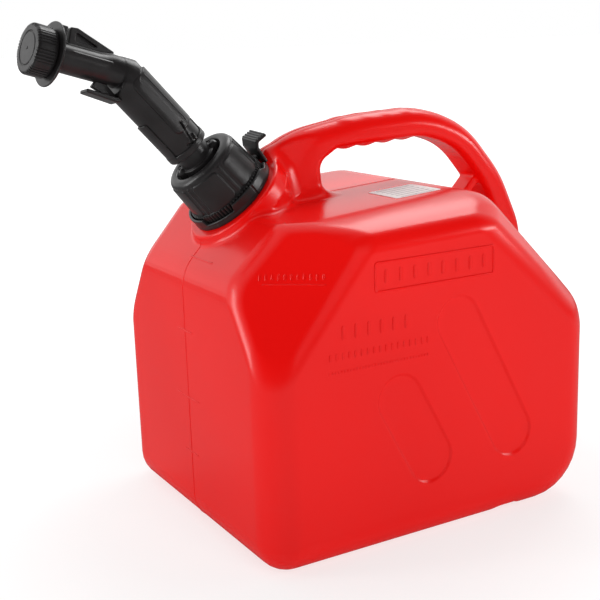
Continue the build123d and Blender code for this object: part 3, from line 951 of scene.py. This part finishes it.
def cap_field(x, y, z):
    """Screw cap with fine grip grooves in groups, a ring groove and a moulding dot on its face."""
    rho = np.hypot(x, y)
    turn = np.arctan2(y, x) / (2 * np.pi)
    in_group = ((turn * GROOVE_GROUPS) % 1 - 0.5) * 360 / GROOVE_GROUPS
    groove_phase = np.abs((in_group / GROOVE_PITCH) % 1 - 0.5) * 2
    grip = 0.75 - 0.7 * smooth(groove_phase, 0.45, 0.8) * (np.abs(in_group) < 2 * GROOVE_PITCH)
    shell = round_cut(rho - CAP_RADIUS - grip * smooth(z, 50, 50.8), between(z, CAP_LOW, CAP_HIGH + 4), 0.5)
    shell = round_cut(shell, z - CAP_HIGH, 2.0)
    groove = np.hypot(rho - 10.6, z - CAP_HIGH) - 0.55
    dot = np.hypot(rho, z - CAP_HIGH - 0.4) - 1.1
    shell = round_cut(round_cut(shell, -groove, 0.3), -dot, 0.3)
    phase = ((z - CAP_LOW - 1.05) / TIP_PITCH - turn + 0.5) % 1 - 0.5
    run = smooth(z, 49.8, 50.6) * smooth(53.9 - z, 0, 0.8)
    ridge = 1.3 * smooth(0.22 - np.abs(phase), 0, 0.14) * run
    bore = np.maximum(rho - CAP_BORE + ridge, z - CAP_HIGH + 2.2)
    return round_cut(shell, -bore, 0.3)


carve("spout_foot_piece", base_field, (-26, -26, -12), (26, 26, 42), 0.6, spout,
      BLACK, "spout_foot", ["spout_base"])
carve("pouring_spout", spout_field, (-58, -17, 13), (22, 17, 146), 0.5, spout,
      BLACK, "sliding_spout", ["spout_sleeve", "nozzle_elbow", "vent_tube"])
carve("slide_retainer_piece", retainer_field, (-17, -17, 13), (17, 17, 50), 0.5, spout,
      BLACK, "sliding_spout", ["slide_retainer"])
carve("rim_hook_piece", hook_field, (-29, -6.5, 70), (-8, 6.5, 95), 0.35, spout,
      BLACK, "sliding_spout", ["rim_hook"])
carve("splash_disc_piece", disc_field, (-22, -22, 45), (22, 22, 49.4), 0.4, nozzle,
      BLACK, "sliding_spout", ["splash_disc"])
carve("screw_cap", cap_field, (-17.5, -17.5, 48), (17.5, 17.5, 64), 0.4, nozzle,
      BLACK, "cap", ["nozzle_cap"])


# ---------------------------------------------------------------- carried-over CAD parts
CARRIED = {
    "neck_gasket": RUBBER,
    "base_seal": RUBBER,
    "valve_seal": RUBBER,
    "cap_liner": RUBBER,
    "sleeve_spring": STEEL,
    "top_label": PAPER,
}
for name, node in frame["nodes"].items():
    if not node.hide_render:
        node.data.materials.clear()
        node.data.materials.append(CARRIED.get(name, BLACK))


# ---------------------------------------------------------------- camera, floor and light
def look_camera():
    """A camera that stands in front of the can's front left corner, a little above it."""
    data = bpy.data.cameras.new("camera")
    camera = bpy.data.objects.new("camera", data)
    bpy.context.scene.collection.objects.link(camera)
    right = Vector((0.8651, -0.5006, -0.0323)).normalized()
    forward = Vector((0.4805, 0.8454, -0.2335)).normalized()
    turn = Matrix((right, right.cross(forward), -forward)).transposed().to_4x4()
    camera.matrix_world = Matrix.Translation(Vector((-0.4293, -0.6812, 0.3407))) @ turn
    data.sensor_width = 36
    data.lens = 65.87
    data.clip_start = 0.01
    data.clip_end = 50
    bpy.context.scene.camera = camera


def soft_light(name, place, target, size, power, glossy=True):
    """A rectangular soft light, facing target. A fill that isn't glossy shows in no reflection."""
    data = bpy.data.lights.new(name, "AREA")
    data.shape = "RECTANGLE"
    data.size, data.size_y = size
    data.energy = power
    light = bpy.data.objects.new(name, data)
    bpy.context.scene.collection.objects.link(light)
    light.location = place
    light.rotation_euler = (Vector(target) - Vector(place)).to_track_quat("-Z", "Y").to_euler()
    light.visible_glossy = glossy


def studio():
    """A white room whose near side is dark, so that the glossy sides keep their colour."""
    world = bpy.data.worlds.new("studio")
    bpy.context.scene.world = world
    world.use_nodes = True
    nodes, links = world.node_tree.nodes, world.node_tree.links
    direction = nodes.new("ShaderNodeTexCoord").outputs["Generated"]
    split = nodes.new("ShaderNodeSeparateXYZ")
    links.new(direction, split.inputs[0])
    shift = nodes.new("ShaderNodeMath")
    shift.operation = "MULTIPLY_ADD"
    shift.inputs[1].default_value = 0.5
    shift.inputs[2].default_value = 0.5
    links.new(split.outputs["Y"], shift.inputs[0])
    shade = nodes.new("ShaderNodeValToRGB")
    shade.color_ramp.elements[0].position = 0.38
    shade.color_ramp.elements[0].color = (0.06, 0.06, 0.06, 1)
    shade.color_ramp.elements[1].position = 0.62
    shade.color_ramp.elements[1].color = (1.0, 1.0, 1.0, 1)
    links.new(shift.outputs[0], shade.inputs["Fac"])
    seen = nodes.new("ShaderNodeMix")
    seen.data_type = "RGBA"
    links.new(nodes.new("ShaderNodeLightPath").outputs["Is Camera Ray"], seen.inputs["Factor"])
    links.new(shade.outputs["Color"], seen.inputs[6])
    seen.inputs[7].default_value = (1, 1, 1, 1)
    links.new(seen.outputs[2], nodes["Background"].inputs["Color"])
    nodes["Background"].inputs["Strength"].default_value = 1.0


def ground():
    """A wide level floor at the can's base."""
    mesh = bpy.data.meshes.new("floor")
    half = 30.0
    corners = [(-half, -half, 0), (half, -half, 0), (half, half, 0), (-half, half, 0)]
    mesh.from_pydata(corners, [], [(0, 1, 2, 3)])
    floor = bpy.data.objects.new("floor", mesh)
    bpy.context.scene.collection.objects.link(floor)
    mesh.materials.append(pale_floor())


look_camera()
studio()
ground()
soft_light("top", (0.62, 0.38, 1.2), (0, 0, 0.2), (0.6, 0.6), 4.6)
soft_light("left", (-1.6, 0.5, 0.55), (-0.1, 0, 0.15), (0.35, 1.0), 8)
soft_light("right", (1.25, -0.85, 0.55), (-0.1, 0, 0.25), (0.8, 0.12), 5)
soft_light("fill", (-0.2, -1.8, 1.0), (0, 0, 0.15), (1.2, 1.2), 17, False)
bpy.context.scene.view_settings.view_transform = "Standard"
